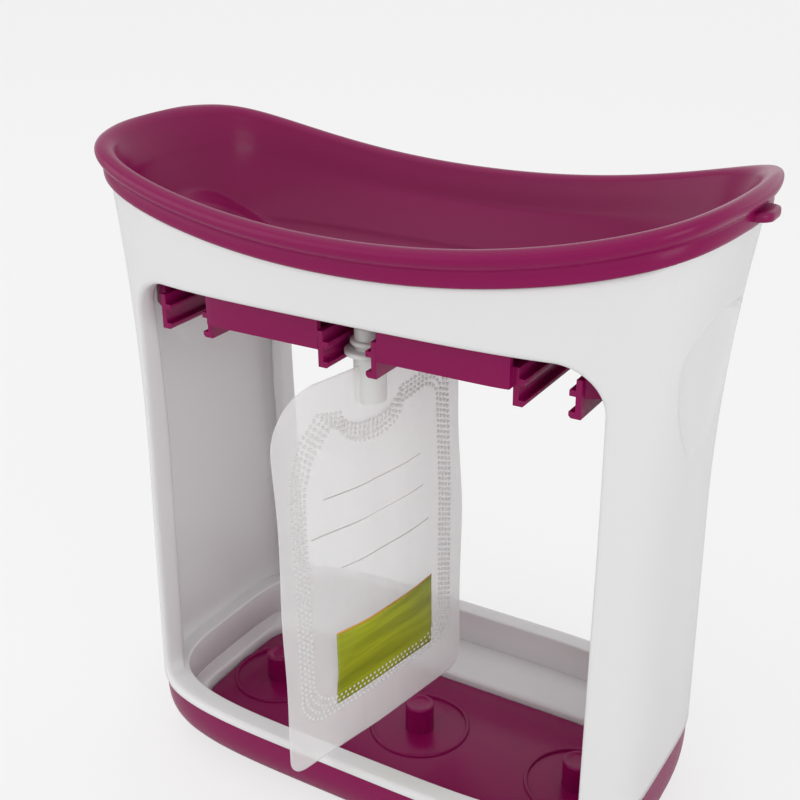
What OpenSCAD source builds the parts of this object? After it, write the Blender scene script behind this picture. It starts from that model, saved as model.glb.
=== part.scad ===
// Food pouch filling station: a white oval housing on a magenta foot, a lift-off
// funnel tray with a saddle rim, and rails under it for three pouches.
// Frame: origin on the floor under the middle station, +Z up, front at -Y.

/* [Stations] */
// Distance from one filling station to the next
station_pitch = 62; // [60:0.5:62]
// Mean radius of the raised ring round each peg
ring_r = 17.5; // [14:0.5:17.5]
// Radius of the locating peg at each station
peg_r = 5.2; // [4:0.1:6]
// Height of a peg above its plate
peg_h = 10; // [8:0.5:14]

/* [Housing] */
// Half length of the housing at its waist
shell_a = 91.3; // [91.3:0.1:92]
// How far the ends flare out 90 mm above the waist
shell_flare = 7.5; // [7:0.1:7.8]
// Half depth of the housing at its base
shell_b = 54; // [53.6:0.1:54]
// Wall thickness of the housing
shell_t = 2.6; // [2.4:0.1:2.6]
// Half width of the window through the front and the back
window_a = 79.3; // [78:0.1:79.4]
// Height of the window's lower edge, the sill
sill_z = 27; // [26.8:0.1:27.2]
// Height of the window's upper edge
lintel_z = 176.5; // [176:0.1:176.8]
// Radius of the window's corners
window_r = 14; // [10:1:16]
// Depth of the flange that is turned inward round the window
flange_d = 6; // [5:0.5:6]
// Depth of the grip hollow in each end
grip_d = 4.5; // [3:0.5:5]

/* [Base] */
// Height of the seam between housing and foot
seam_z = 25; // [25:0.1:25]
// Top of the peg plate
plate_z = 6; // [5.8:0.1:6.2]
// Half length of the foot's flat underside
foot_a = 87; // [85:0.5:88]
// Half depth of the foot's flat underside
foot_b = 40; // [38:0.5:42]

/* [Tray] */
// Half length of the rim along its centre line
rim_a = 102.8; // [102.5:0.1:103]
// Half depth of the rim along its centre line
rim_b = 47.8; // [47.6:0.1:48]
// Height of the rim at its lowest, in the middle
rim_z = 199; // [198.5:0.5:200]
// How much higher the rim is at its ends
rim_rise = 17; // [16:0.5:18]
// Height of the bowl's floor
floor_z = 176; // [175.5:0.5:176.5]
// Radius of the hole that takes a filling tube
seat_r = 15.6; // [14:0.2:16]

/* [Rails] */
// Height of the rails' lower edge
rail_z = 159.6; // [159.4:0.1:160]
// Half width of the gap between two rail lips
lip_gap = 6.4; // [6.2:0.1:6.6]
// Half width over both rail walls
rail_w = 10.05; // [9.9:0.05:10.2]
// Lower edge of the blocks between the rails
block_z = 165; // [164.5:0.5:165.5]

/* [Pouch] */
// Half width of the bag
bag_w = 41; // [36:0.5:42]
// Height of the bag's lower edge as it hangs
bag_z = 28; // [27.8:0.1:32]
// Angle by which the bag hangs twisted about its spout
bag_twist = 11; // [0:1:12]
// How far in front of its station the spout hangs
spout_y = 29; // [29:0.5:29]
// Radius of the spout's neck
neck_r = 5; // [4.5:0.1:5.2]

/* [Hidden] */
white = "#e9e8e6";
magenta = "#96325f";
rubber = "#2c2c2e";
steel = "#b9bcc0";
film = "#e4e6e2";
stations = [-station_pitch, 0, station_pitch];
around = 60;                        // points round each oval
// Angles of those points, closer together at the ovals' corners
ring_angles = [for (i = [0:around - 1]) let (t = 360 * i / around) t + 6 * sin(4 * t)];
plan_n = 4.3;                       // squareness of the housing's plan
top_n = 3.9;                        // the same at the housing's top
rim_n = 8;                          // squareness of the rim's plan, before its sides bow
side_bow = 0.12;                    // share by which the rim's sides draw in at its corners
end_bow = 0.1;                      // and its ends
saddle_n = 2.1;                     // power of the rim's rise along X
waist_z = 106;                      // above it the ends flare out
flare_h = 90;
shell_taper = 6;                    // loss of half depth over taper_h
taper_h = 190;
taper_from = 6;
edge_round = 1.6;                   // soft edge above the foot seam
wall_gap = 0.3;                     // clearance between pieces of two bodies
band_drop = 7.9;                    // rim centre line to the band's lower edge
shell_in = 0.4;                     // housing's face inside the rim's centre line
ledge_in = 7.6;                     // inner face of the sill ledge, from outside
ledge_t = 2;
ledge_foot_z = 13.2;                // lower end of the ledge's inner leg
basin_t = 2.2;
lip_z = plate_z + 2.9;              // top of the basin's rolled lip
boss_top = lip_z - 1;               // top of the bosses that take the base screws
plate_a = 80.3;
plate_b = 30.3;
plate_n = 7;
plate_gap = 0.7;                    // dark line round the peg plate
foot_t = 2.4;
hull_power = 3.4;                   // fullness of the foot's hull-like side
pad_h = 1.8;
pad_out = 1;                        // pads stand out below the foot
pad_r = 7;
pad_xy = [60, 24];
base_screw_x = 62;                  // base screws, near the stations
base_screw_in = 3.5;                // their distance behind the basin's lip
screw_r = 1.4;
screw_head_r = 2.9;
screw_head_h = 1.6;
screw_seat_z = 2.2;                 // face that the base screws' heads sit on
boss_r = 3.4;
tray_t = 2.2;
grip_w = 24;
grip_lo = 139.5;
grip_hi = 184.5;
grip_ledge = 4.5;                   // height over which the hollow's upper ledge slopes
carrier_t = 2;
deck_z = floor_z - 5;               // top of the carrier's deck, under the bowl's floor
deck_b = 41.5;                      // half depth of the carrier
side_front = 38.5;                  // front end of the outermost blocks
carrier_a = 88;
carrier_n = 6;
fascia_z = lintel_z + 1.7;          // top of the blocks' faces, out of sight behind the lintel
fascia_a = 80;
rail_wall = 1.75;
lip_t = 1.9;
shoulder_z = 166;
slot_back = 13;                     // closed end of each rail slot
ear_xy = [84.5, 20];
bag_t = 7;
flange_z = rail_z + lip_t + 0.5;    // underside of the spout's collar, just over the lips
bag_top = flange_z - 3;
bag_r = 16;                         // radius of the bag's shoulders
flange_t = 1.6;
flange_gap = 1.4;                   // height between the two collars
collar_r = 7.7;
spout_in = 12;                      // length of spout inside the bag
tip_z = deck_z - 0.6;

// A point of a rounded oval with half lengths a and b and squareness n.
function oval(a, b, n, t) =
  let (c = cos(t), s = sin(t), r = pow(pow(abs(c), n) + pow(abs(s), n), -1 / n))
  [a * c * r, b * s * r];

// Rise of the saddle rim at x.
function saddle(x) = rim_rise * pow(min(abs(x) / rim_a, 1), saddle_n);

// Half length, half depth and squareness of the housing's outer face at z.
function shell_half(z) = shell_a + shell_flare * pow(max(z - waist_z, 0) / flare_h, 2);
function shell_deep(z) = shell_b - shell_taper * pow((z - taper_from) / taper_h, 1.5);
function shell_sq(z) = plan_n - (plan_n - top_n) * (z - seam_z) / (rim_z - seam_z);

// Depth of the grip hollow at y and z: oval, deepest under its sloping upper ledge.
function grip_level(z) = (z <= grip_lo || z >= grip_hi) ? 0
  : pow((z - grip_lo) / (grip_hi - grip_lo), 0.6) * min(1, (grip_hi - z) / grip_ledge);
function grip(y, z) = grip_d * grip_level(z)
  * sqrt(max(0, 1 - pow(y / (grip_w * (0.35 + 0.65 * grip_level(z))), 2)));

// One ring of the housing, set in from its outer face by d.
function shell_ring(z, d, hollow = 1) = [for (t = ring_angles)
  let (p = oval(shell_half(z) - d, shell_deep(z) - d, shell_sq(z), t))
  [p.x - sign(p.x) * hollow * grip(p.y, z) * (abs(p.x) > shell_a / 2 ? 1 : 0), p.y, z]];

// A flat ring at z.
function flat_ring(a, b, n, z) = [for (t = ring_angles)
  let (p = oval(a, b, n, t)) [p.x, p.y, z]];

// A point of the rim's oval, whose sides and ends bow: bow 1 is the full bow.
function rim_oval(a, b, n, bow, t) =
  let (p = oval(1, 1, n, t))
  [a * p.x * (1 - bow * end_bow * p.y * p.y), b * p.y * (1 - bow * side_bow * p.x * p.x)];

// A ring d outside the rim's centre line and z above it, along the saddle.
function rim_ring(d, z) = [for (t = ring_angles)
  let (p = rim_oval(rim_a + d, rim_b + d, rim_n, 1, t)) [p.x, p.y, rim_z + z + saddle(p.x)]];

// Side faces between two rings of points, as triangles.
function band_faces(i, j) = [for (k = [0:around - 1])
  let (m = (k + 1) % around, p = i * around, q = j * around)
  each [[p + k, q + k, q + m], [p + k, q + m, p + m]]];

function reversed(list) = [for (i = [len(list) - 1:-1:0]) list[i]];

// A closed hoop, described up its outer face and down its inner one: each ring is joined
// to the next, and the last to the first.
module hoop(rings) {
  count = len(rings);
  points = [for (r = rings) each r];
  faces = [for (i = [0:count - 1]) each band_faces(i, (i + 1) % count)];
  polyhedron(points, faces, convexity = 10);
}

// A solid body: rings from bottom to top, closed by a flat fan at each end.
module stack(rings) {
  count = len(rings);
  points = [for (r = rings) each r];
  last = (count - 1) * around;
  sides = [for (i = [0:count - 2]) each band_faces(i, i + 1)];
  bottom = [for (k = [1:around - 2]) [0, k, k + 1]];
  top = [for (k = [1:around - 2]) [last, last + k + 1, last + k]];
  polyhedron(points, concat(sides, bottom, top), convexity = 10);
}

// The flat plate of an oval, from z0 to z1.
module slab(a, b, n, z0, z1) {
  translate([0, 0, z0])
    linear_extrude(z1 - z0) polygon([for (t = ring_angles) oval(a, b, n, t)]);
}

// The window's outline in X and Z, grown by g.
module window_outline(g) {
  r = window_r + g;
  foot_r = 5;
  for (side = [-1, 1]) translate([side * (window_a - window_r), lintel_z - window_r])
    circle(r, $fn = 48);
  for (side = [-1, 1]) translate([side * (window_a - foot_r), sill_z + foot_r])
    circle(foot_r + g, $fn = 24);
  translate([-window_a - g, sill_z + foot_r])
    square([2 * (window_a + g), lintel_z - window_r - sill_z - foot_r]);
  translate([-window_a + window_r, sill_z])
    square([2 * (window_a - window_r), lintel_z + g - sill_z]);
  translate([-window_a + foot_r, sill_z - g]) square([2 * (window_a - foot_r), g + foot_r]);
}

module window_prism(g) {
  reach = 70;
  translate([0, reach, 0]) rotate([90, 0, 0]) linear_extrude(2 * reach) window_outline(g);
}

// Heights at which the housing's wall is described, closer where it has its hollow.
wall_levels = [60, waist_z, grip_lo, 146, 153, 160, 167, 174, 180, 182.3, grip_hi + 0.2];
band_top = 6.4;                     // housing's upper edge below the rim's centre line

module body_shell() {
  outer = concat(
    [shell_ring(seam_z, edge_round), shell_ring(seam_z + edge_round, 0.3)],
    [for (z = wall_levels) shell_ring(z, 0)],
    [rim_ring(-shell_in, -band_top)]
  );
  inner = concat(
    [rim_ring(-shell_in - shell_t, -band_top)],
    [for (z = reversed(wall_levels)) shell_ring(z, shell_t)],
    [shell_ring(seam_z + edge_round, shell_t), shell_ring(seam_z, shell_t + 0.6)]
  );
  flange_levels = [seam_z + 1, 60, waist_z, 153, lintel_z + shell_t + 1];
  flange = concat(
    [for (z = flange_levels) shell_ring(z, shell_t - 1, 0)],
    [for (z = reversed(flange_levels)) shell_ring(z, flange_d, 0)]
  );
  ledge_z = sill_z - ledge_t;
  ledge = [
    shell_ring(ledge_z, shell_t - 1), shell_ring(sill_z, shell_t - 1),
    shell_ring(sill_z, ledge_in), shell_ring(ledge_foot_z, ledge_in),
    shell_ring(ledge_foot_z, ledge_in - ledge_t), shell_ring(ledge_z, ledge_in - ledge_t)
  ];
  color(white) {
    difference() {
      union() {
        hoop(concat(outer, inner));
        intersection() {
          hoop(flange);
          window_prism(shell_t);
        }
      }
      window_prism(0);
    }
    hoop(ledge);
    for (side = [-1, 1], y = [-ear_xy.y, ear_xy.y]) carrier_boss(side, y);
  }
}

// A lug on the housing's end wall that the rail carrier is screwed to.
module carrier_boss(side, y) {
  boss_h = 9;
  wall_x = shell_half(block_z) - shell_t + 0.8;
  difference() {
    union() {
      translate([side * ear_xy.x, y, deck_z - carrier_t - boss_h])
        cylinder(r = boss_r, h = boss_h, $fn = 32);
      translate([side > 0 ? ear_xy.x : -wall_x, y - carrier_t / 2, deck_z - carrier_t - boss_h])
        cube([wall_x - ear_xy.x, carrier_t, boss_h]);
    }
    translate([side * ear_xy.x, y, deck_z - carrier_t - boss_h + 1])
      cylinder(r = screw_r, h = boss_h, $fn = 24);
  }
}

// Places its children at the four screws that join foot and basin, at height z.
module at_base_screws(z) {
  for (x = [-1, 1], y = [-1, 1])
    translate([x * base_screw_x, y * (plate_b + plate_gap + base_screw_in), z]) children();
}

// The white basin between the sill and the peg plate.
module base_basin() {
  mouth_z = ledge_foot_z;
  mouth_a = shell_half(mouth_z) - ledge_in;
  mouth_b = shell_deep(mouth_z) - ledge_in;
  lip_a = plate_a + plate_gap;
  lip_b = plate_b + plate_gap;
  under = basin_t;
  rings = [
    flat_ring(lip_a, lip_b, plate_n, plate_z + 1),
    flat_ring(lip_a + 0.3, lip_b + 1.2, plate_n, lip_z - 0.4),
    flat_ring(lip_a + 0.7, lip_b + 3, plate_n, lip_z),
    flat_ring(mouth_a, mouth_b, plan_n, mouth_z - 0.4),
    flat_ring(mouth_a + 1.6, mouth_b + 1.6, plan_n, mouth_z),
    flat_ring(mouth_a + 1, mouth_b + 1, plan_n, mouth_z - under),
    flat_ring(lip_a + under, lip_b + 4, plate_n, lip_z - under),
    flat_ring(lip_a + under - 0.4, lip_b + under, plate_n, plate_z - under),
    flat_ring(lip_a, lip_b, plate_n, plate_z - under)
  ];
  color(white) difference() {
    union() {
      hoop(reversed(rings));
      at_base_screws(pad_out + foot_t)
        cylinder(r = boss_r, h = boss_top - pad_out - foot_t, $fn = 32);
    }
    at_base_screws(0) cylinder(r = screw_r, h = boss_top - 1, $fn = 24);
  }
}

// Half lengths of the foot's hull-like outer face at z.
foot_top_a = shell_half(seam_z) - 0.4;
foot_top_b = shell_deep(seam_z) - 1.2;
function hull_share(z) = 1 - pow(max(seam_z - z, 0) / (seam_z - pad_out), hull_power);
function foot_ring(z, d) = flat_ring(
  foot_a + (foot_top_a - foot_a) * hull_share(z) - d,
  foot_b + (foot_top_b - foot_b) * hull_share(z) - d, plan_n, z);

module base_foot() {
  floor_top = pad_out + foot_t;
  levels = [pad_out, 3, 6, 10, 15, 20, seam_z];
  inner_levels = [floor_top, 6, 10, 15, 20, seam_z + 1];
  color(magenta) difference() {
    stack([for (z = levels) foot_ring(z, 0)]);
    stack([for (z = inner_levels) foot_ring(z, foot_t)]);
    at_base_screws(0) {
      cylinder(r = screw_r + 0.3, h = 2 * foot_t, $fn = 24);
      cylinder(r = screw_head_r + 0.2, h = screw_seat_z, $fn = 32);
    }
    for (x = [-1, 1], y = [-1, 1])
      translate([x * pad_xy.x, y * pad_xy.y, 0]) cylinder(r = pad_r, h = pad_h, $fn = 48);
  }
}

module peg_plate() {
  ring_w = 1;
  ring_h = 0.6;
  dish_r = peg_r - 1.1;
  color(magenta) {
    slab(plate_a, plate_b, plate_n, pad_out + foot_t, plate_z);
    for (x = stations) translate([x, 0, plate_z - 0.2]) {
      difference() {
        cylinder(r = ring_r + ring_w / 2, h = ring_h + 0.2, $fn = 96);
        translate([0, 0, -1]) cylinder(r = ring_r - ring_w / 2, h = ring_h + 2, $fn = 96);
      }
      difference() {
        union() {
          cylinder(r = peg_r, h = peg_h - 0.4, $fn = 48);
          cylinder(r = peg_r - 0.5, h = peg_h + 0.2, $fn = 48);
        }
        translate([0, 0, peg_h - 0.3]) cylinder(r = dish_r, h = 1, $fn = 48);
      }
    }
  }
}

// A self-tapping screw: head at the lower end, shank upward to the given length.
module screw(length) {
  cylinder(r = screw_head_r, h = screw_head_h, $fn = 32);
  cylinder(r = screw_r, h = length, $fn = 24);
}

module base_screws() {
  low = screw_seat_z - screw_head_h;
  color(steel) at_base_screws(low) screw(boss_top - 1.4 - low);
}

module pad(x, y) {
  color(rubber) translate([x * pad_xy.x, y * pad_xy.y, 0]) cylinder(r = pad_r, h = pad_h, $fn = 48);
}
module pad_front_left() { pad(-1, -1); }
module pad_front_right() { pad(1, -1); }
module pad_back_left() { pad(-1, 1); }
module pad_back_right() { pad(1, 1); }

// The bowl's inner face at share u of its depth, 0 under the rim and 1 at the floor.
bowl_a = 83;
bowl_b = 31;
bump_w = 29;
bump_h = 18;
bump_in = 7;
wall_in = 5.9;                      // bowl wall inside the rim's centre line, at the band's foot
function bump(y, z) = bump_in
  * sqrt(max(0, 1 - pow(y / bump_w, 2) - pow(max(z - floor_z, 0) / bump_h, 2)));
function bowl_ring(u, d, drop) = [for (t = ring_angles)
  let (curve = pow(u, 1.25),
       a = rim_a - wall_in - (rim_a - wall_in - bowl_a) * curve + d,
       b = rim_b - wall_in - (rim_b - wall_in - bowl_b) * curve + d,
       p = rim_oval(a, b, rim_n - 4.8 * u, 1 - 0.7 * u, t),
       top = rim_z - band_drop + saddle(p.x),
       z = top + (floor_z - drop - top) * u,
       near_end = abs(p.x) > rim_a / 2 ? 1 : 0)
  [p.x - sign(p.x) * near_end * min(bump(p.y, z + drop), 0.9 * bump_in), p.y, z]];

module funnel_tray() {
  bead = 2.9;
  band_in = 0.1;
  leg_in = shell_in + shell_t + wall_gap;
  shares = [0.25, 0.5, 0.72, 0.88, 1];
  profile = concat(
    [for (p = [[-wall_in + 0.2, -band_drop + 0.5], [-4.1, -2.4], [-bead, 0.2], [-2, 2], [0, 2.8],
               [2, 2], [bead, 0], [2.1, -2], [0.9, -3.3], [1, -6.9], [0.6, -band_drop],
               [-band_in, -band_drop], [-band_in, -band_top + wall_gap],
               [-leg_in, -band_top + wall_gap], [-leg_in - 0.1, -band_drop]])
      rim_ring(p.x, p.y)],
    [for (u = shares) bowl_ring(u, tray_t, tray_t)]
  );
  inner = [for (u = shares) bowl_ring(u, 0, 0)];
  color(magenta) {
    difference() {
      union() {
        hoop(concat(inner, reversed(profile)));
        stack([bowl_ring(1, 0.2, tray_t), bowl_ring(1, 0.2, 0)]);
      }
      for (x = stations) translate([x, 0, floor_z - 2 * tray_t])
        cylinder(r = seat_r, h = 3 * tray_t, $fn = 96);
    }
    for (x = stations) translate([x, 0, floor_z - tray_t]) tube_seat();
    for (side = [0, 180]) rotate(side) finger_tab();
  }
}

// A raised collar round the hole for a filling tube, with a ledge at its foot.
module tube_seat() {
  seat_h = tray_t + 1.4;
  ledge_w = 2;
  difference() {
    cylinder(r = seat_r + 1.6, h = seat_h, $fn = 96);
    translate([0, 0, 0.9]) cylinder(r = seat_r, h = seat_h, $fn = 96);
    translate([0, 0, -1]) cylinder(r = seat_r - ledge_w, h = seat_h, $fn = 96);
  }
}

// The tab that a finger lifts the tray by, under the rim at one end.
module finger_tab() {
  tab_z = rim_z + rim_rise - 6;
  tab_w = 2.5;
  tab_out = rim_a + 5.2;
  tab_t = 2.7;
  tab_r = 4;
  translate([0, 0, tab_z]) hull() for (y = [-tab_w, tab_w])
    translate([tab_out - tab_r, y, 0]) cylinder(r = tab_r, h = tab_t, $fn = 32);
}

module rail_carrier() {
  y_back = deck_b + 1;
  slot_len = y_back + slot_back;
  color(magenta) {
    difference() {
      union() {
        carrier_plan(0, block_z, deck_z);
        fascia();
      }
      for (side = [0, 1]) mirror([side, 0, 0]) {
        block_hollow(rail_w, station_pitch - rail_w);
        block_hollow(station_pitch + rail_w, carrier_a + 2);
      }
      for (x = stations)
        translate([x - rail_w, -y_back, block_z - 1]) cube([2 * rail_w, slot_len, deck_z]);
      for (side = [-1, 1], y = [-ear_xy.y, ear_xy.y])
        translate([side * ear_xy.x, y, 0]) cylinder(r = screw_r + 0.3, h = deck_z + 1, $fn = 24);
      for (side = [-1, 1]) outer_front_cut(side);
    }
    for (x = stations) rail_pair(x, x == 0 ? deck_b : side_front);
  }
}

// The carrier's plan set in by d: an oval that stays clear of the flange behind the lintel.
module carrier_plan(d, z0, z1) {
  clear = flange_d + 2 * wall_gap + d;
  intersection() {
    slab(carrier_a - d, deck_b - d, carrier_n, z0, z1);
    slab(shell_half(block_z) - clear, shell_deep(fascia_z) - clear, shell_sq(deck_z), z0, z1);
  }
}

// The blocks' outer faces carry on up behind the lintel, in front and at the back.
module fascia() {
  wall = 2;
  from_y = 30;
  intersection() {
    difference() {
      carrier_plan(0, deck_z - 1, fascia_z);
      carrier_plan(wall, deck_z - 2, fascia_z + 1);
    }
    for (side = [0, 1]) mirror([0, side, 0])
      translate([-fascia_a, from_y, 0]) cube([2 * fascia_a, deck_b, fascia_z + 1]);
  }
}

// The space under the deck inside one block: walls stay at its front and back.
module block_hollow(x0, x1) {
  wall_t = 1;
  front_t = 10.2;
  back_t = 8;
  translate([x0 + wall_t, front_t - deck_b, block_z - 1])
    cube([x1 - x0 - 2 * wall_t, 2 * deck_b - front_t - back_t, deck_z - carrier_t - block_z + 1]);
}

// The outermost blocks start further back than the middle ones.
module outer_front_cut(side) {
  corner = deck_b + 1;
  translate([side > 0 ? station_pitch + rail_w : -carrier_a - 1, -corner, block_z - 1])
    cube([carrier_a + 1 - station_pitch - rail_w, corner - side_front, deck_z]);
}

// Two L-shaped rails that face each other, with the shoulders above their grooves.
module rail_pair(x, front) {
  back = slot_back;
  length = front + back;
  shoulder_t = 1.8;
  lip_in = lip_gap - rail_w;
  lip_soft = 0.7;
  for (side = [0, 1]) translate([x, 0, 0]) mirror([side, 0, 0]) {
    translate([rail_w - rail_wall, -front, rail_z]) cube([rail_wall, length, deck_z - rail_z]);
    translate([rail_w, -front, rail_z]) rotate([-90, 0, 0]) linear_extrude(length)
      polygon([[0, 0], [lip_in + lip_soft, 0], [lip_in, -lip_soft], [lip_in, -lip_t], [0, -lip_t]]);
    translate([lip_gap, -front, shoulder_z]) cube([rail_w - lip_gap, length, shoulder_t]);
  }
  translate([x - rail_w, back, rail_z]) cube([2 * rail_w, carrier_t, deck_z - rail_z]);
}

module carrier_screws() {
  length = 9;
  color(steel) for (side = [-1, 1], y = [-ear_xy.y, ear_xy.y])
    translate([side * ear_xy.x, y, deck_z + screw_head_h]) mirror([0, 0, 1]) screw(length);
}

// The bag: a thin lens in plan, full height, with rounded shoulders.
module bag_outline() {
  foot_r = 6;
  hull() {
    for (side = [-1, 1]) {
      translate([side * (bag_w - bag_r), bag_top - bag_r]) circle(bag_r, $fn = 48);
      translate([side * (bag_w - foot_r), bag_z + foot_r]) circle(foot_r, $fn = 24);
    }
  }
}

module pouch_bag() {
  edge_t = 1;
  steps = 12;
  thick = function (s) edge_t + (bag_t - edge_t) * cos(90 * s);
  lens = concat(
    [for (i = [-steps:steps]) [i / steps * (bag_w + 1), thick(abs(i) / steps) / 2]],
    [for (i = [steps:-1:-steps]) [i / steps * (bag_w + 1), -thick(abs(i) / steps) / 2]]);
  color(film) translate([0, -spout_y, 0]) rotate(90 - bag_twist) difference() {
    intersection() {
      linear_extrude(deck_z) polygon(lens);
      rotate([90, 0, 0]) linear_extrude(2 * bag_t, center = true) bag_outline();
    }
    translate([0, 0, bag_top - spout_in]) cylinder(r = neck_r, h = 2 * spout_in, $fn = 48);
  }
}

module pouch_spout() {
  bore_r = neck_r - 1.4;
  foot_z = bag_top - spout_in;
  second_z = flange_z + flange_t + flange_gap;
  slim_r = neck_r - 0.4;
  color(film) translate([0, -spout_y, 0]) difference() {
    union() {
      translate([0, 0, foot_z]) cylinder(r = neck_r, h = flange_z - foot_z + 0.2, $fn = 48);
      translate([0, 0, flange_z]) cylinder(r = collar_r, h = flange_t, $fn = 64);
      translate([0, 0, flange_z]) cylinder(r = slim_r, h = tip_z - flange_z, $fn = 48);
      translate([0, 0, second_z]) cylinder(r = neck_r + 0.8, h = flange_t, $fn = 48);
    }
    translate([0, 0, foot_z - 1]) cylinder(r = bore_r, h = tip_z, $fn = 48);
  }
}

body_shell();
base_basin();
base_foot();
peg_plate();
base_screws();
pad_front_left();
pad_front_right();
pad_back_left();
pad_back_right();
funnel_tray();
rail_carrier();
carrier_screws();
pouch_bag();
pouch_spout();
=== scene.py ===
"""Food pouch filling station: white oval housing, magenta bowl, rails, foot and a hanging pouch."""
import math

import bmesh
import bpy
import numpy as np
from mathutils import Matrix, Vector, geometry


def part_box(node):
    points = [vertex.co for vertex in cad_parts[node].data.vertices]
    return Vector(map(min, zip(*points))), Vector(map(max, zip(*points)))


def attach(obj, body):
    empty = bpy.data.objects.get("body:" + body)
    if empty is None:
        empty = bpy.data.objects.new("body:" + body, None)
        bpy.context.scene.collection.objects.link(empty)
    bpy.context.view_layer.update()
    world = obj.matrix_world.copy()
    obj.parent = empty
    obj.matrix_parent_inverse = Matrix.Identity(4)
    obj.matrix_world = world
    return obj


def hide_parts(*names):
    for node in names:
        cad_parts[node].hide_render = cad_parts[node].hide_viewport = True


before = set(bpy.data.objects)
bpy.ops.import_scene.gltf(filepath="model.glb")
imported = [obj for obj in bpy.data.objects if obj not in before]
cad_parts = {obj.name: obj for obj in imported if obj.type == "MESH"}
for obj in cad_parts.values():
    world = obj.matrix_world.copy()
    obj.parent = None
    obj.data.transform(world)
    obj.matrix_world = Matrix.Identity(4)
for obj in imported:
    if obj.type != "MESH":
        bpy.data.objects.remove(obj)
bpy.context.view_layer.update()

bl_info = {
    "name": "Food pouch filling station",
    "version": (1, 0, 0),
    "blender": (4, 5, 0),
    "location": "View3D > Sidebar > Station",
    "description": "Builds the dressed pieces of a food pouch filling station",
    "category": "Object",
}

MM = 0.001
STATIONS = (-62.0, 0.0, 62.0)


def frame_mm(node, corner, axis):
    """A face of a CAD node's box, in millimetres: corner 0 is low and 1 is high."""
    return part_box(node)[corner][axis] / MM


# ---------------------------------------------------------------- sizes and colours


class StationSizes(bpy.types.PropertyGroup):
    window_half: bpy.props.FloatProperty(
        name="Window half width", description="Half width of the window in the housing",
        default=0.0793, unit="LENGTH")
    window_top: bpy.props.FloatProperty(
        name="Window top", description="Height of the window's upper edge",
        default=0.1765, unit="LENGTH")
    window_corner: bpy.props.FloatProperty(
        name="Window corner", description="Radius of the window's upper corners",
        default=0.014, unit="LENGTH")
    wall: bpy.props.FloatProperty(
        name="Wall", description="Wall thickness of the moulded pieces", default=0.0026, unit="LENGTH")
    flange: bpy.props.FloatProperty(
        name="Flange depth", description="Depth of the flange turned in round the window",
        default=0.006, unit="LENGTH")
    edge: bpy.props.FloatProperty(
        name="Edge rounding", description="Rounding where the window's flange meets the face",
        default=0.0022, unit="LENGTH")
    grip: bpy.props.FloatProperty(
        name="Grip hollow", description="Depth of the hollow in each end", default=0.0045, unit="LENGTH")
    peg_radius: bpy.props.FloatProperty(
        name="Peg radius", description="Radius of the peg at each station", default=0.0052, unit="LENGTH")
    ring_radius: bpy.props.FloatProperty(
        name="Ring radius", description="Radius of the raised ring round each peg",
        default=0.0175, unit="LENGTH")
    bag_twist: bpy.props.FloatProperty(
        name="Pouch twist", description="Angle by which the pouch hangs turned about its spout",
        default=math.radians(11), subtype="ANGLE")


class StationColours(bpy.types.PropertyGroup):
    magenta: bpy.props.FloatVectorProperty(
        name="Magenta", description="Bowl, rails and foot", default=(0.26, 0.003, 0.085),
        subtype="COLOR", size=3, min=0, max=1)
    white: bpy.props.FloatVectorProperty(
        name="White", description="Housing and basin", default=(0.85, 0.845, 0.85),
        subtype="COLOR", size=3, min=0, max=1)
    film: bpy.props.FloatVectorProperty(
        name="Film", description="Frosted pouch film", default=(1.0, 1.0, 0.995),
        subtype="COLOR", size=3, min=0, max=1)
    label: bpy.props.FloatVectorProperty(
        name="Label", description="Printed field on the pouch", default=(0.33, 0.37, 0.012),
        subtype="COLOR", size=3, min=0, max=1)
    rubber: bpy.props.FloatVectorProperty(
        name="Rubber", description="Anti-slip pads", default=(0.03, 0.03, 0.032),
        subtype="COLOR", size=3, min=0, max=1)
    steel: bpy.props.FloatVectorProperty(
        name="Steel", description="Screws", default=(0.55, 0.55, 0.57),
        subtype="COLOR", size=3, min=0, max=1)


def sizes():
    """The station's sizes, as set in the panel."""
    return bpy.context.scene.station_sizes


def colours():
    """The station's colours, as set in the panel."""
    return bpy.context.scene.station_colours


# ---------------------------------------------------------------- the station's ovals

SHELL_A = 91.3
SHELL_FLARE = 7.5
SHELL_B = 54.0
SHELL_TAPER = 6.0
WAIST_Z = 106.0
SEAM_Z = 25.0
SILL_Z = 27.0
RIM_A = 102.8
RIM_B = 47.8
RIM_Z = 199.0
RIM_RISE = 17.0
RIM_N = 8.0
SIDE_BOW = 0.12
END_BOW = 0.1
TOP_N = 3.9
SHELL_IN = 0.4
TURN_IN_Z = 150.0
PLAN_N = 4.3
BAND_DROP = 7.9
EDGE_DROP = 6.4
FLOOR_Z = 176.0
PLATE_Z = 6.0
FOOT_A = 87.0
FOOT_B = 40.0
GRIP_LOW = 139.5
GRIP_HIGH = 184.5
GRIP_W = 24.0


def saddle(x):
    """Rise of the rim at x."""
    return RIM_RISE * np.minimum(np.abs(x) / RIM_A, 1.0) ** 2.1


def oval(a, b, n, turn):
    """Points of a rounded oval, at the rays of angle turn."""
    c, s = np.cos(turn), np.sin(turn)
    r = (np.abs(c) ** n + np.abs(s) ** n) ** (-1.0 / n)
    return a * c * r, b * s * r


def rim_oval(a, b, n, bow, turn):
    """Points of the rim's oval, whose sides and ends bow: bow 1 is the full bow."""
    x, y = oval(1.0, 1.0, n, turn)
    return a * x * (1 - bow * END_BOW * y * y), b * y * (1 - bow * SIDE_BOW * x * x)


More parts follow.
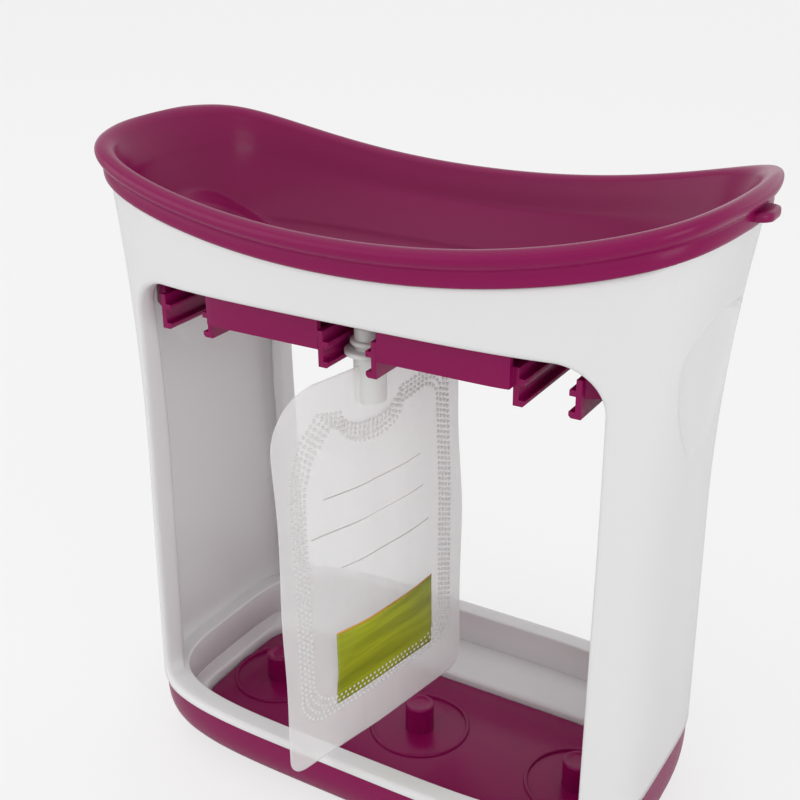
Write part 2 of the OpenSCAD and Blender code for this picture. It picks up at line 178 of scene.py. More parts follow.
def shell_half(z):
    """Half length, half depth and squareness of the housing's outer face at height z."""
    a = SHELL_A + SHELL_FLARE * (np.maximum(z - WAIST_Z, 0.0) / 90.0) ** 2
    b = SHELL_B - SHELL_TAPER * (np.maximum(z - 6.0, 0.0) / 190.0) ** 1.5
    n = PLAN_N - (PLAN_N - TOP_N) * (z - SEAM_Z) / (RIM_Z - SEAM_Z)
    return a, b, n


def wall_xy(turn, z, inset):
    """The housing's wall at rays of angle turn: its oval turns into the rim's near the top."""
    a, b, n = shell_half(z)
    x, y = oval(a - inset, b - inset, n, turn)
    top_x, top_y = rim_oval(RIM_A - SHELL_IN - inset, RIM_B - SHELL_IN - inset, RIM_N, 1.0, turn)
    top_z = shell_top(top_x)
    end_a, end_b, end_n = shell_half(top_z)
    end_x, end_y = oval(end_a - inset, end_b - inset, end_n, turn)
    share = np.clip((z - TURN_IN_Z) / (top_z - TURN_IN_Z), 0.0, 1.0) ** 2
    return x + share * (top_x - end_x), y + share * (top_y - end_y)


def front_y(x, z, inset):
    """Distance of the housing's front face from its middle plane at x and z."""
    x, z = np.abs(np.asarray(x, float)), np.asarray(z, float)
    low, high = np.zeros_like(x), np.full_like(x, math.pi / 2)
    for _ in range(36):
        middle = (low + high) / 2
        beyond = wall_xy(middle, z, inset)[0] > x
        low, high = np.where(beyond, middle, low), np.where(beyond, high, middle)
    return wall_xy(high, z, inset)[1]


def grip_depth(y, z, depth):
    """The grip hollow: an arch with a sloping upper ledge, fading out below."""
    away = np.minimum(np.abs(y) / GRIP_W, 1.0)
    high = GRIP_HIGH - 9.0 * (1 - np.sqrt(1 - away ** 2))
    up = np.clip((z - GRIP_LOW) / (GRIP_HIGH - GRIP_LOW), 0.0, 1.0)
    ledge = np.clip((high - z) / 4.0, 0.0, 1.0)
    ledge = ledge * ledge * (3 - 2 * ledge)
    width = GRIP_W * np.sin(math.pi * np.minimum(0.5, up * 0.62 + 0.04)) ** 0.7
    side = np.clip(1.0 - (y / width) ** 2, 0.0, 1.0)
    side = 1 - (1 - side) ** 2
    return depth * up ** 0.75 * side ** 0.75 * ledge


# ---------------------------------------------------------------- mesh helpers


def new_object(name, mesh_data, body, material, replaced=()):
    """Links a finished mesh as a piece that rides on a body."""
    obj = bpy.data.objects.new(name, mesh_data)
    bpy.context.scene.collection.objects.link(obj)
    mesh_data.materials.clear()
    mesh_data.materials.append(material)
    finish_piece(obj, body, replaced)
    return obj


def finish_piece(obj, body, replaced=()):
    """Lets a piece ride on its body, in place of the nodes it replaces."""
    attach(obj, body)
    if replaced:
        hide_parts(*replaced)


def mesh_from(name, points, faces, sharp_angle=None):
    """A mesh in metres from points in millimetres, merged, with its faces outward."""
    mesh = bpy.data.meshes.new(name)
    mesh.from_pydata([Vector(p) * MM for p in points], [], faces)
    work = bmesh.new()
    work.from_mesh(mesh)
    bmesh.ops.remove_doubles(work, verts=work.verts, dist=2e-6)
    bmesh.ops.dissolve_degenerate(work, edges=work.edges, dist=1e-7)
    bmesh.ops.recalc_face_normals(work, faces=work.faces)
    for face in work.faces:
        face.smooth = True
    if sharp_angle is not None:
        for edge in work.edges:
            if len(edge.link_faces) == 2 and edge.calc_face_angle(0.0) > sharp_angle:
                edge.smooth = False
    work.to_mesh(mesh)
    work.free()
    return mesh


def band(first, second, count):
    """Faces between two rings of points that start at these indices."""
    return [(first + k, first + (k + 1) % count, second + (k + 1) % count, second + k)
            for k in range(count)]


def hoop(rings, closed=True):
    """Points and faces of rings joined in a row, and the last to the first if closed."""
    count = len(rings[0])
    points = [p for ring in rings for p in ring]
    faces = []
    for i in range(len(rings) if closed else len(rings) - 1):
        faces += band(i * count, ((i + 1) % len(rings)) * count, count)
    return points, faces


def lathe(profile, turns=48, centre=(0.0, 0.0)):
    """A turned shape from (radius, height) points."""
    points, faces = [], []
    for r, z in profile:
        for k in range(turns):
            t = 2 * math.pi * k / turns
            points.append((centre[0] + r * math.cos(t), centre[1] + r * math.sin(t), z))
    for i in range(len(profile) - 1):
        faces += band(i * turns, (i + 1) * turns, turns)
    return points, faces


def joined(*parts):
    """Several (points, faces) pairs as one."""
    points, faces = [], []
    for part_points, part_faces in parts:
        start = len(points)
        points += list(part_points)
        faces += [tuple(i + start for i in f) for f in part_faces]
    return points, faces


def flat_fill(outline, holes, z):
    """Triangles that fill an outline at height z, leaving round holes (x, y, radius, turns)."""
    points = [Vector((p[0], p[1])) for p in outline]
    edges = [(k, (k + 1) % len(outline)) for k in range(len(outline))]
    for x, y, radius, turns in holes:
        start = len(points)
        for k in range(turns):
            t = 2 * math.pi * k / turns
            points.append(Vector((x + radius * math.cos(t), y + radius * math.sin(t))))
        edges += [(start + k, start + (k + 1) % turns) for k in range(turns)]
    verts, _, tris, _, _, _ = geometry.delaunay_2d_cdt(points, edges, [], 0, 1e-6)
    corner_loop = [Vector((p[0], p[1])) for p in outline]
    faces = []
    for tri in tris:
        middle = sum((verts[i] for i in tri), Vector((0, 0))) / len(tri)
        if any((middle - Vector((x, y))).length < radius * 0.999 for x, y, radius, _ in holes):
            continue
        if inside(middle, corner_loop):
            faces.append(tuple(tri))
    return [(v.x, v.y, z) for v in verts], faces


def inside(point, loop):
    """Whether a point lies inside a closed loop of points."""
    hit = False
    for k in range(len(loop)):
        a, b = loop[k], loop[k - 1]
        if (a.y > point.y) != (b.y > point.y):
            if point.x < (b.x - a.x) * (point.y - a.y) / (b.y - a.y) + a.x:
                hit = not hit
    return hit


def arc(cx, cy, radius, start, end, steps):
    """Points on an arc, with angles in degrees."""
    return [(cx + radius * math.cos(math.radians(start + (end - start) * k / steps)),
             cy + radius * math.sin(math.radians(start + (end - start) * k / steps)))
            for k in range(steps + 1)]


# ---------------------------------------------------------------- Geometry Nodes


def set_inputs(tree, made, inputs):
    """Gives each input socket its value, or links the output that feeds it."""
    for socket, value in inputs.items():
        if isinstance(value, bpy.types.NodeSocket):
            tree.links.new(value, made.inputs[socket])
        else:
            made.inputs[socket].default_value = value


def add_node(tree, kind, inputs, **settings):
    """Adds a node with these settings and inputs."""
    made = tree.nodes.new(kind)
    for key, value in settings.items():
        setattr(made, key, value)
    set_inputs(tree, made, inputs)
    return made


def new_tree(name, inputs, output):
    """An empty geometry tree with (name, kind) inputs, and the outputs of its input node."""
    tree = bpy.data.node_groups.new(name, "GeometryNodeTree")
    for socket, kind in inputs:
        tree.interface.new_socket(socket, in_out="INPUT", socket_type="NodeSocket" + kind)
    tree.interface.new_socket(output, in_out="OUTPUT", socket_type="NodeSocketGeometry")
    return tree, tree.nodes.new("NodeGroupInput").outputs


def end_tree(tree, pieces, material):
    """Realizes the instances, sets their material and hands them out."""
    real = add_node(tree, "GeometryNodeRealizeInstances", {0: pieces})
    paint = add_node(tree, "GeometryNodeSetMaterial", {"Geometry": real.outputs[0], "Material": material})
    add_node(tree, "NodeGroupOutput", {0: paint.outputs[0]})


def grid_tree():
    """A tree that repeats its input in a grid of columns and rows."""
    tree, given = new_tree("repeat_in_grid", (
        ("Piece", "Geometry"), ("Columns", "Int"), ("Rows", "Int"), ("Column pitch", "Float"),
        ("Row pitch", "Float"), ("Finish", "Material")), "Pieces")
    pieces = given["Piece"]
    for count, pitch, axis in (("Columns", "Column pitch", 0), ("Rows", "Row pitch", 1)):
        gaps = add_node(tree, "ShaderNodeMath", {0: given[count], 1: 1.0}, operation="SUBTRACT")
        reach = add_node(tree, "ShaderNodeMath", {0: gaps.outputs[0], 1: given[pitch]},
                         operation="MULTIPLY")
        back = add_node(tree, "ShaderNodeMath", {0: reach.outputs[0], 1: -0.5}, operation="MULTIPLY")
        start = add_node(tree, "ShaderNodeCombineXYZ", {axis: back.outputs[0]})
        step = add_node(tree, "ShaderNodeCombineXYZ", {axis: given[pitch]})
        line = add_node(tree, "GeometryNodeMeshLine", {
            "Count": given[count], "Start Location": start.outputs[0], "Offset": step.outputs[0]})
        pieces = add_node(tree, "GeometryNodeInstanceOnPoints", {
            "Points": line.outputs[0], "Instance": pieces}).outputs[0]
    end_tree(tree, pieces, given["Finish"])
    return tree


def dots_tree():
    """A tree that sets a small flattened dot on each point of its input."""
    tree, given = new_tree("seal_dots", (
        ("Points", "Geometry"), ("Radius", "Float"), ("Height", "Float"), ("Turn", "Float"),
        ("Finish", "Material")), "Dots")
    ball = add_node(tree, "GeometryNodeMeshIcoSphere", {"Radius": 1.0, "Subdivisions": 2})
    scale = add_node(tree, "ShaderNodeCombineXYZ", {
        0: given["Radius"], 1: given["Height"], 2: given["Radius"]})
    turn = add_node(tree, "ShaderNodeCombineXYZ", {2: given["Turn"]})
    dots = add_node(tree, "GeometryNodeInstanceOnPoints", {
        "Points": given["Points"], "Instance": ball.outputs["Mesh"],
        "Rotation": turn.outputs[0], "Scale": scale.outputs[0]})
    end_tree(tree, dots.outputs[0], given["Finish"])
    return tree


def through_tree(name, mesh, tree, values, body, material, replaced=()):
    """Runs a mesh through a tree, keeps the result as a plain mesh and adds it as a piece."""
    holder = bpy.data.objects.new(name + "_source", mesh)
    bpy.context.scene.collection.objects.link(holder)
    modifier = holder.modifiers.new("nodes", "NODES")
    modifier.node_group = tree
    by_name = {item.name: item.identifier for item in tree.interface.items_tree
               if item.in_out == "INPUT"}
    for key, value in values.items():
        modifier[by_name[key]] = value
    bpy.context.view_layer.update()
    graph = bpy.context.evaluated_depsgraph_get()
    result = bpy.data.meshes.new_from_object(holder.evaluated_get(graph))
    holder.modifiers.clear()
    bpy.data.objects.remove(holder)
    for polygon in result.polygons:
        polygon.use_smooth = True
    return new_object(name, result, body, material, replaced)


# ---------------------------------------------------------------- materials


def new_material(name):
    """A new material: itself, its tree, its shader and the object's own coordinates."""
    material = bpy.data.materials.new(name)
    material.use_nodes = True
    tree = material.node_tree
    place = tree.nodes.new("ShaderNodeTexCoord").outputs["Object"]
    return material, tree, tree.nodes["Principled BSDF"], place


def shade(colour, factor=1.0):
    """A colour made lighter or darker, with full alpha."""
    return [min(c * factor, 1.0) for c in colour] + [1]


def noise(tree, place, scale, detail, distortion=0.0):
    return add_node(tree, "ShaderNodeTexNoise", {
        "Vector": place, "Scale": scale, "Detail": detail, "Distortion": distortion}).outputs["Fac"]


def stretched(tree, place, scale, tilt=0.0):
    """Coordinates stretched by scale and tilted about X."""
    return add_node(tree, "ShaderNodeMapping", {
        "Vector": place, "Scale": scale, "Rotation": (tilt, 0.0, 0.0)}).outputs["Vector"]


def blend(tree, factor, first, second):
    return add_node(tree, "ShaderNodeMix", {"Factor": factor, "A": first, "B": second},
                    data_type="RGBA").outputs["Result"]


def ranged(tree, value, low, high):
    return add_node(tree, "ShaderNodeMapRange", {
        "Value": value, "To Min": low, "To Max": high}).outputs["Result"]


def bumped(tree, height, strength, distance):
    return add_node(tree, "ShaderNodeBump", {
        "Height": height, "Strength": strength, "Distance": distance}).outputs["Normal"]


def moulded_plastic(name, colour, roughness, cloud, grain, shine):
    """Glossy moulded plastic: slight clouding, uneven gloss and a very fine surface ripple."""
    material, tree, shader, place = new_material(name)
    set_inputs(tree, shader, {
        "Base Color": blend(tree, noise(tree, place, 14.0, 3.0),
                            shade(colour, 1 - cloud), shade(colour, 1 + cloud)),
        "Roughness": ranged(tree, noise(tree, place, 260.0, 2.0), roughness - grain, roughness + grain),
        "Normal": bumped(tree, noise(tree, place, 45.0, 1.0), 0.05, 0.0004),
        "Specular IOR Level": shine,
    })
    return material


def frosted_film(name, colour, alpha):
    """Thin frosted film: hazy, with soft vertical creases and a patchy sheen."""
    material, tree, shader, place = new_material(name)
    haze = noise(tree, stretched(tree, place, (60.0, 60.0, 18.0)), 1.0, 4.0)
    set_inputs(tree, shader, {
        "Base Color": blend(tree, haze, shade(colour, 0.96), shade(colour, 1.04)),
        "Alpha": ranged(tree, haze, alpha - 0.06, alpha + 0.06),
        "Normal": bumped(tree, haze, 0.25, 0.0008),
        "Roughness": 0.32,
    })
    return material


def printed_label(name, colour):
    """A printed field with slanting streaks of lighter and darker ink."""
    material, tree, shader, place = new_material(name)
    slanting = stretched(tree, place, (20.0, 22.0, 260.0), math.radians(8))
    ramp = add_node(tree, "ShaderNodeValToRGB", {"Fac": noise(tree, slanting, 1.0, 5.0, 0.6)})
    for stop, position, factor in zip(ramp.color_ramp.elements, (0.32, 0.68), (0.72, 1.3)):
        stop.position = position
        stop.color = shade(colour, factor)
    set_inputs(tree, shader, {"Base Color": ramp.outputs["Color"], "Roughness": 0.38})
    return material


def plated_steel(name, colour):
    """Bright plated steel with fine turning marks."""
    material, tree, shader, place = new_material(name)
    marks = noise(tree, place, 900.0, 2.0)
    set_inputs(tree, shader, {
        "Base Color": blend(tree, marks, shade(colour, 0.9), shade(colour)),
        "Roughness": ranged(tree, marks, 0.22, 0.4),
        "Metallic": 1.0,
    })
    return material


def matte_rubber(name, colour):
    """Dull rubber with a fine pebbled skin."""
    material, tree, shader, place = new_material(name)
    pebbles = add_node(tree, "ShaderNodeTexVoronoi", {"Vector": place, "Scale": 1400.0}).outputs["Distance"]
    set_inputs(tree, shader, {
        "Base Color": blend(tree, pebbles, shade(colour), shade(colour, 1.8)),
        "Normal": bumped(tree, pebbles, 1.0, 0.0003),
        "Roughness": 0.85,
    })
    return material


def finish(name):
    """The station's own material of that name, made on first use."""
    name = "station_" + name
    if name in bpy.data.materials:
        return bpy.data.materials[name]
    c = colours()
    recipes = {
        "magenta_plastic": lambda: moulded_plastic(name, c.magenta, 0.26, 0.05, 0.02, 0.22),
        "white_plastic": lambda: moulded_plastic(name, c.white, 0.24, 0.008, 0.015, 0.5),
        "pouch_film": lambda: frosted_film(name, c.film, 0.56),
        "seal_emboss": lambda: frosted_film(name, (0.95, 0.95, 0.94), 0.86),
        "spout_plastic": lambda: frosted_film(name, (0.88, 0.89, 0.87), 0.88),
        "label_ink": lambda: printed_label(name, c.label),
        "label_edge_ink": lambda: printed_label(name, (0.72, 0.36, 0.05)),
        "grey_ink": lambda: printed_label(name, (0.74, 0.74, 0.71)),
        "steel": lambda: plated_steel(name, c.steel),
        "rubber": lambda: matte_rubber(name, c.rubber),
    }
    return recipes[name.removeprefix("station_")]()


# ---------------------------------------------------------------- housing

PATCH_TURN = math.radians(38)
ARCH_POINTS = 84
UPPER_ROWS = 9


def shell_levels():
    """Heights of the housing's rows below the saddle, closer where the grip hollow ends."""
    low = np.arange(SEAM_Z + 0.5, 136.0, 2.4)
    middle = np.arange(136.0, 170.0, 1.1)
    high = np.arange(170.0, 187.1, 0.45)
    return np.concatenate((low, middle, high))


def shell_top(x):
    """Height of the housing's upper edge at x."""
    return RIM_Z - EDGE_DROP + saddle(x)


def border_column(turn, inset, hollow=0.0):
    """Points up the wall at a ray angle, from the foot seam to the upper edge."""
    levels = shell_levels()
    rim_x = rim_oval(RIM_A - SHELL_IN - inset, RIM_B - SHELL_IN - inset, RIM_N, 1.0, turn)[0]
    z = np.concatenate((levels, np.linspace(levels[-1], shell_top(rim_x), UPPER_ROWS + 1)[1:]))
    x, y = wall_xy(turn, z, inset)
    x = x - np.sign(x) * grip_depth(y, z, hollow)
    return [tuple(p) for p in np.stack((x, y, z), axis=1).tolist()]


def patch_border(inset):
    """The border of the front face, round the window: up the right side, along the top,
    down the left side and along the bottom. Points are (x, z)."""
    right = [(p[0], p[2]) for p in border_column(PATCH_TURN, inset)]
    x_top, x_low = right[-1][0], right[0][0]
    top = [x_top * (1 - 2 * k / ARCH_POINTS) for k in range(1, ARCH_POINTS)]
    top = [(x, float(shell_top(x))) for x in top]
    left = [(-x, z) for x, z in reversed(right)]
    bottom = [(-x_low * (1 - 2 * k / ARCH_POINTS), right[0][1]) for k in range(1, ARCH_POINTS)]
    return right + top + left + bottom


def window_distance(x, z, grow):
    """Signed distance from the window's outline in X and Z, grown by grow."""
    s = sizes()
    half, top, big = s.window_half / MM, s.window_top / MM, s.window_corner / MM
    radius = big if z > 100 else 5.0
    middle = (top + SILL_Z) / 2
    tall = (top - SILL_Z) / 2
    dx = abs(x) - (half - radius)
    dz = abs(z - middle) - (tall - radius)
    outside = math.hypot(max(dx, 0), max(dz, 0)) + min(max(dx, dz), 0.0)
    return outside - radius - grow


def window_point(x, z, grow):
    """Where the ray from the window's middle to a border point meets the grown outline."""
    cx, cz = 0.0, (sizes().window_top / MM + SILL_Z) / 2
    low, high = 0.0, 1.3
    for _ in range(40):
        t = (low + high) / 2
        if window_distance(cx + (x - cx) * t, cz + (z - cz) * t, grow) > 0:
            high = t
        else:
            low = t
    return cx + (x - cx) * low, cz + (z - cz) * low


def window_profile():
    """(grow, inset) pairs from the outer face, over the rounded edge, to the inner face."""
    s = sizes()
    edge, flange, wall = s.edge / MM, s.flange / MM, s.wall / MM
    outer = [(edge - x, edge - y) for x, y in arc(0, 0, edge, 90, 0, 8)]
    lip = 0.9
    inner = [(lip - x, flange - lip + y) for x, y in arc(0, 0, lip, 0, 90, 4)]
    tail = [(1.7, flange), (wall - 0.4, flange - 0.25), (wall, flange - 0.8), (wall, wall + 1.2),
            (wall + 0.3, wall + 0.4), (wall + 1.0, wall)]
    return outer + inner + tail


def front_patch():
    """Points and faces of the front: outer face, window edge, flange and inner face."""
    s = sizes()
    wall = s.wall / MM
    outer, inner = patch_border(0.0), patch_border(wall)
    profile = window_profile()
    shares = [1.0, 0.8, 0.62, 0.46, 0.32, 0.2, 0.1, 0.04]
    rings = []
    start_grow = profile[0][0]
    border, inner_border = np.array(outer), np.array(inner)
    edge = np.array([window_point(x, z, start_grow) for x, z in outer])
    for share in shares:
        rings.append(on_front(edge + (border - edge) * share, 0.0))
    for grow, inset in profile:
        rings.append(on_front(np.array([window_point(x, z, grow) for x, z in outer]), inset))
    edge = np.array([window_point(x, z, profile[-1][0]) for x, z in outer])
    for share in reversed(shares):
        rings.append(on_front(edge + (inner_border - edge) * share, wall))
    return hoop(rings, closed=False)


def on_front(places, inset):
    """Points of the front face, set in by inset, at these (x, z) places."""
    x, z = places[:, 0], places[:, 1]
    return np.stack((x, -front_y(x, z, inset), z), axis=1).tolist()


def end_wall(inset, hollow):
    """Points and faces of the right end wall at an inset, with its grip hollow."""
    turns = np.linspace(-PATCH_TURN, PATCH_TURN, 97)
    columns = [border_column(t, inset, hollow) for t in turns]
    rows = len(columns[0])
    points = [p for column in columns for p in column]
    faces = []
    for i in range(len(columns) - 1):
        for j in range(rows - 1):
            a = i * rows + j
            faces.append((a, a + rows, a + rows + 1, a + 1))
    return points, faces


def edge_strip(top):
    """The narrow face that joins outer and inner wall along the upper or lower edge."""
    wall = sizes().wall / MM
    loops = []
    for inset in (0.0, wall):
        border = patch_border(inset)
        count = len(border_column(PATCH_TURN, inset))
        if top:
            front = border[count - 1:count + ARCH_POINTS]
        else:
            front = [border[0]] + list(reversed(border[2 * count + ARCH_POINTS - 2:]))
        row = on_front(np.array(front), inset)
        index = -1 if top else 0
        ends = [border_column(t, inset)[index] for t in np.linspace(-PATCH_TURN, PATCH_TURN, 97)]
        half = list(reversed(row)) + ends
        back = [(-x, -y, z) for x, y, z in half]
        loops.append(half + back)
    count = len(loops[0])
    return loops[0] + loops[1], band(0, count, count)


def mirrored(part, x=1, y=1):
    """A part turned over in X or Y where that sign is -1."""
    points, faces = part
    if x * y < 0:
        faces = [tuple(reversed(f)) for f in faces]
    return [(x * p[0], y * p[1], p[2]) for p in points], faces


def base_ledge():
    """The sill's ledge and inner leg, all the way round inside the wall."""
    outer_in, inner_in, leg_t, foot_z = 1.6, 7.6, 2.0, 13.2
    soft = 0.8
    profile = [(outer_in, SILL_Z - 2.2), (outer_in, SILL_Z - 0.05), (inner_in - soft, SILL_Z)]
    profile += [(inner_in - soft + x, SILL_Z - soft + y) for x, y in arc(0, 0, soft, 70, 0, 4)]
    profile += [(inner_in, foot_z + 0.3), (inner_in - 0.3, foot_z), (inner_in - leg_t, foot_z),
                (inner_in - leg_t, SILL_Z - 2.2)]
    count = 240
    rings = []
    for inset, z in profile:
        a, b, n = shell_half(min(z, SILL_Z))
        rings.append([(*oval(a - inset, b - inset, n, 2 * math.pi * k / count), z)
                      for k in range(count)])
    return hoop(rings)


class STATION_OT_housing(bpy.types.Operator):
    """Builds the white oval housing with its windows, flanges and grip hollows"""
    bl_idname = "station.housing"
    bl_label = "Housing"

    def execute(self, context):
        wall = sizes().wall / MM
        hollow = sizes().grip / MM
        front = front_patch()
        right_out = end_wall(0.0, hollow)
        right_in = end_wall(wall, hollow)
        shell = joined(
            front, mirrored(front, y=-1),
            right_out, mirrored(right_out, x=-1),
            mirrored(right_in), mirrored(right_in, x=-1),
            edge_strip(True), edge_strip(False))
        mesh = mesh_from("body_shell_look", *shell)
        new_object("housing_shell", mesh, "housing", finish("white_plastic"),
                   ["body_shell"])
        ledge = mesh_from("sill_ledge", *base_ledge(), sharp_angle=math.radians(50))
        new_object("sill_ledge", ledge, "housing", finish("white_plastic"))
        return {"FINISHED"}


# ---------------------------------------------------------------- base


def ring_at(a, b, n, z, count=240):
    """A level oval ring at height z."""
    return [(*oval(a, b, n, 2 * math.pi * k / count), z) for k in range(count)]


class STATION_OT_basin(bpy.types.Operator):
    """Builds the white basin that slopes from the sill to the peg plate"""
    bl_idname = "station.basin"
    bl_label = "Basin"

    def execute(self, context):
        lip_a, lip_b, n = 81.0, 31.0, 7.0
        mouth_z = 13.2
        mouth_a = shell_half(SEAM_Z)[0] - 7.6
        mouth_b = shell_half(SEAM_Z)[1] - 7.5
        lip_z = PLATE_Z + 2.9
        under = 2.2
        rings = [ring_at(lip_a, lip_b, n, PLATE_Z - under), ring_at(lip_a, lip_b, n, PLATE_Z + 0.8)]
        for k in range(1, 9):
            t = math.radians(90 * k / 8)
            rings.append(ring_at(lip_a + 0.8 * (1 - math.cos(t)), lip_b + 2.6 * (1 - math.cos(t)), n,
                                 PLATE_Z + 0.8 + (lip_z - PLATE_Z - 0.8) * math.sin(t)))
        for k in range(1, 9):
            share = k / 8
            curve = share ** 1.35
            rings.append(ring_at(
                lip_a + 0.8 + (mouth_a - lip_a - 0.8) * share, lip_b + 2.6 + (mouth_b - lip_b - 2.6) * share,
                n + (PLAN_N - n) * share, lip_z + (mouth_z - 0.35 - lip_z) * curve))
        rings += [ring_at(mouth_a + 0.5, mouth_b + 0.5, PLAN_N, mouth_z - 0.1),
                  ring_at(mouth_a + 1.6, mouth_b + 1.6, PLAN_N, mouth_z),
                  ring_at(mouth_a + 1.0, mouth_b + 1.0, PLAN_N, mouth_z - under),
                  ring_at(lip_a + under, lip_b + 4, n, lip_z - under),
                  ring_at(lip_a + under - 0.4, lip_b + under, n, PLATE_Z - under)]
        mesh = mesh_from("basin", *hoop(rings), sharp_angle=math.radians(40))
        new_object("basin", mesh, "housing", finish("white_plastic"), ["base_basin"])
        return {"FINISHED"}


def foot_ring(z, inset, count=240):
    """A ring of the foot's hull-like side at height z, set in by inset."""
    top_a = SHELL_A - 0.4
    top_b = shell_half(SEAM_Z)[1] - 1.2
    share = 1 - (max(SEAM_Z - z, 0) / (SEAM_Z - 1.0)) ** 3.4
    return ring_at(FOOT_A + (top_a - FOOT_A) * share - inset,
                   FOOT_B + (top_b - FOOT_B) * share - inset, PLAN_N, z, count)


PAD_XY = (60.0, 24.0)
SCREW_XY = (62.0, 34.5)


class STATION_OT_foot(bpy.types.Operator):
    """Builds the magenta foot with its hull-like sides, pad recesses and screw wells"""
    bl_idname = "station.foot"
    bl_label = "Foot"

    def execute(self, context):
        bottom, floor, wall = 1.0, 3.4, 2.4
        soft = 1.4
        outer = []
        for k in range(0, 7):
            t = math.radians(90 * k / 6)
            outer.append(foot_ring(bottom + soft * (1 - math.cos(t)), soft * (1 - math.sin(t))))
        outer += [foot_ring(z, 0) for z in (3.4, 5, 7, 9, 11, 13, 15, 17, 19, 21, 22.5, 24, 24.6)]
        outer += [foot_ring(SEAM_Z, 0.35)]
        inner = [foot_ring(z, wall) for z in (SEAM_Z, 22, 19, 16, 13, 10, 7, 5, floor)]
        sides = hoop(outer + inner, closed=False)
        holes = [(sx * PAD_XY[0], sy * PAD_XY[1], 7.0, 48) for sx in (-1, 1) for sy in (-1, 1)]
        wells = [(sx * SCREW_XY[0], sy * SCREW_XY[1], 3.1, 32) for sx in (-1, 1) for sy in (-1, 1)]
        under = flat_fill(outer[0], holes + wells, bottom)
        above = flat_fill(inner[-1], [], floor)
        recesses = [lathe([(r, bottom), (r, top), (0.001, top)], turns, (x, y))
                    for group, top in ((holes, 1.8), (wells, 2.2)) for x, y, r, turns in group]
        mesh = mesh_from("foot", *joined(sides, under, above, *recesses), sharp_angle=math.radians(40))
        new_object("foot_tub", mesh, "housing", finish("magenta_plastic"), ["base_foot"])
        return {"FINISHED"}


class STATION_OT_plate(bpy.types.Operator):
    """Builds the plate and, at each station, a dished peg with its raised ring"""
    bl_idname = "station.plate"
    bl_label = "Peg plate"

    def execute(self, context):
        a, b, n, low = 80.3, 30.3, 7.0, 3.4
        soft = 0.5
        rings = [ring_at(a, b, n, low), ring_at(a, b, n, PLATE_Z - soft)]
        rings += [ring_at(a - x, b - x, n, PLATE_Z - y) for x, y in ((0.15, 0.15), (0.5, 0.0))]
        sides = hoop(rings, closed=False)
        top = flat_fill(rings[-1], [], PLATE_Z)
        bottom = flat_fill(rings[0], [], low)
        mesh = mesh_from("peg_plate_look", *joined(sides, top, bottom), sharp_angle=math.radians(40))
        new_object("base_plate", mesh, "housing", finish("magenta_plastic"), ["peg_plate"])
        r, ring = sizes().peg_radius / MM, sizes().ring_radius / MM
        high = frame_mm("peg_plate", 1, 2)
        root = PLATE_Z - 0.3
        peg = [(0.001, root), (r + 0.1, root), (r, PLATE_Z + 0.6), (r - 0.06, high - 1.0)]
        peg += [(r - 0.75 + x, high - 0.7 + y) for x, y in arc(0, 0, 0.7, 0, 90, 6)]
        peg += [(r - 1.3, high - 0.1), (r - 1.9, high - 0.45), (r - 2.8, high - 0.6), (0.001, high - 0.62)]
        circle = [(ring - 0.78, root), (ring - 0.74, PLATE_Z + 0.3)]
        circle += [(ring + 0.68 * x, PLATE_Z + 0.4 + 0.5 * y) for x, y in arc(0, 0, 1, 180, 0, 8)]
        circle += [(ring + 0.74, PLATE_Z + 0.3), (ring + 0.78, root), (ring - 0.78, root)]
        marks = mesh_from("station_mark", *joined(lathe(peg), lathe(circle, 120)),
                          sharp_angle=math.radians(60))
        through_tree("station_pegs", marks, grid_tree(),
                     {"Columns": len(STATIONS), "Rows": 1, "Column pitch": STATIONS[2] * MM,
                      "Row pitch": 0.0, "Finish": finish("magenta_plastic")},
                     "housing", finish("magenta_plastic"))
        return {"FINISHED"}


# ---------------------------------------------------------------- tray

BUMP_W = 25.0
BUMP_H = 18.5
BUMP_IN = 7.0
BOWL_A = 83.0
BOWL_B = 26.0
WALL_IN = 5.9
SEAT_R = 15.6
TRAY_T = 2.2
RIM_POINTS = 480


def rim_turns():
    """Ray angles of the rim's points, closer together at the corners."""
    t = np.arange(RIM_POINTS) * 2 * math.pi / RIM_POINTS
    return t + math.radians(6) * np.sin(4 * t)


def bump_depth(y, z):
    """How far the bowl's end wall is pushed in over the back of the grip hollow."""
    reach = np.hypot(y / BUMP_W, np.maximum(z - FLOOR_Z + 1.0, 0.0) / BUMP_H)
    flank = np.clip((1.0 - reach) / 0.3, 0.0, 1.0)
    return BUMP_IN * flank * flank * (3 - 2 * flank)


def bowl_ring(inward, down, out=0.0, drop=0.0):
    """A ring of the bowl's wall: shares 0 are at the band's foot and 1 at the floor."""
    a = RIM_A - WALL_IN - (RIM_A - WALL_IN - BOWL_A) * inward + out
    b = RIM_B - WALL_IN - (RIM_B - WALL_IN - BOWL_B) * inward + out
    x, y = rim_oval(a, b, RIM_N - 4.8 * down, 1 - 0.7 * down, rim_turns())
    top = RIM_Z - BAND_DROP + saddle(x)
    z = top + (FLOOR_Z - top) * down
    x = x - np.sign(x) * (np.abs(x) > RIM_A / 2) * bump_depth(y, z)
    return np.stack((x, y, z - drop), axis=1).tolist()


def bowl_rings(out=0.0, drop=0.0):
    """The bowl's wall from the band's foot to the floor, with a rounded foot."""
    rings = []
    for k in range(25):
        share = 0.8 * k / 24
        rings.append(bowl_ring(share ** 1.15 * 0.93, share, out, drop))
    inward, down = 0.8 ** 1.15 * 0.93, 0.8
    for k in range(1, 11):
        t = math.radians(9 * k)
        rings.append(bowl_ring(inward + (1 - inward) * (1 - math.cos(t)) ** 0.75,
                               down + (1 - down) * math.sin(t), out, drop))
    return rings


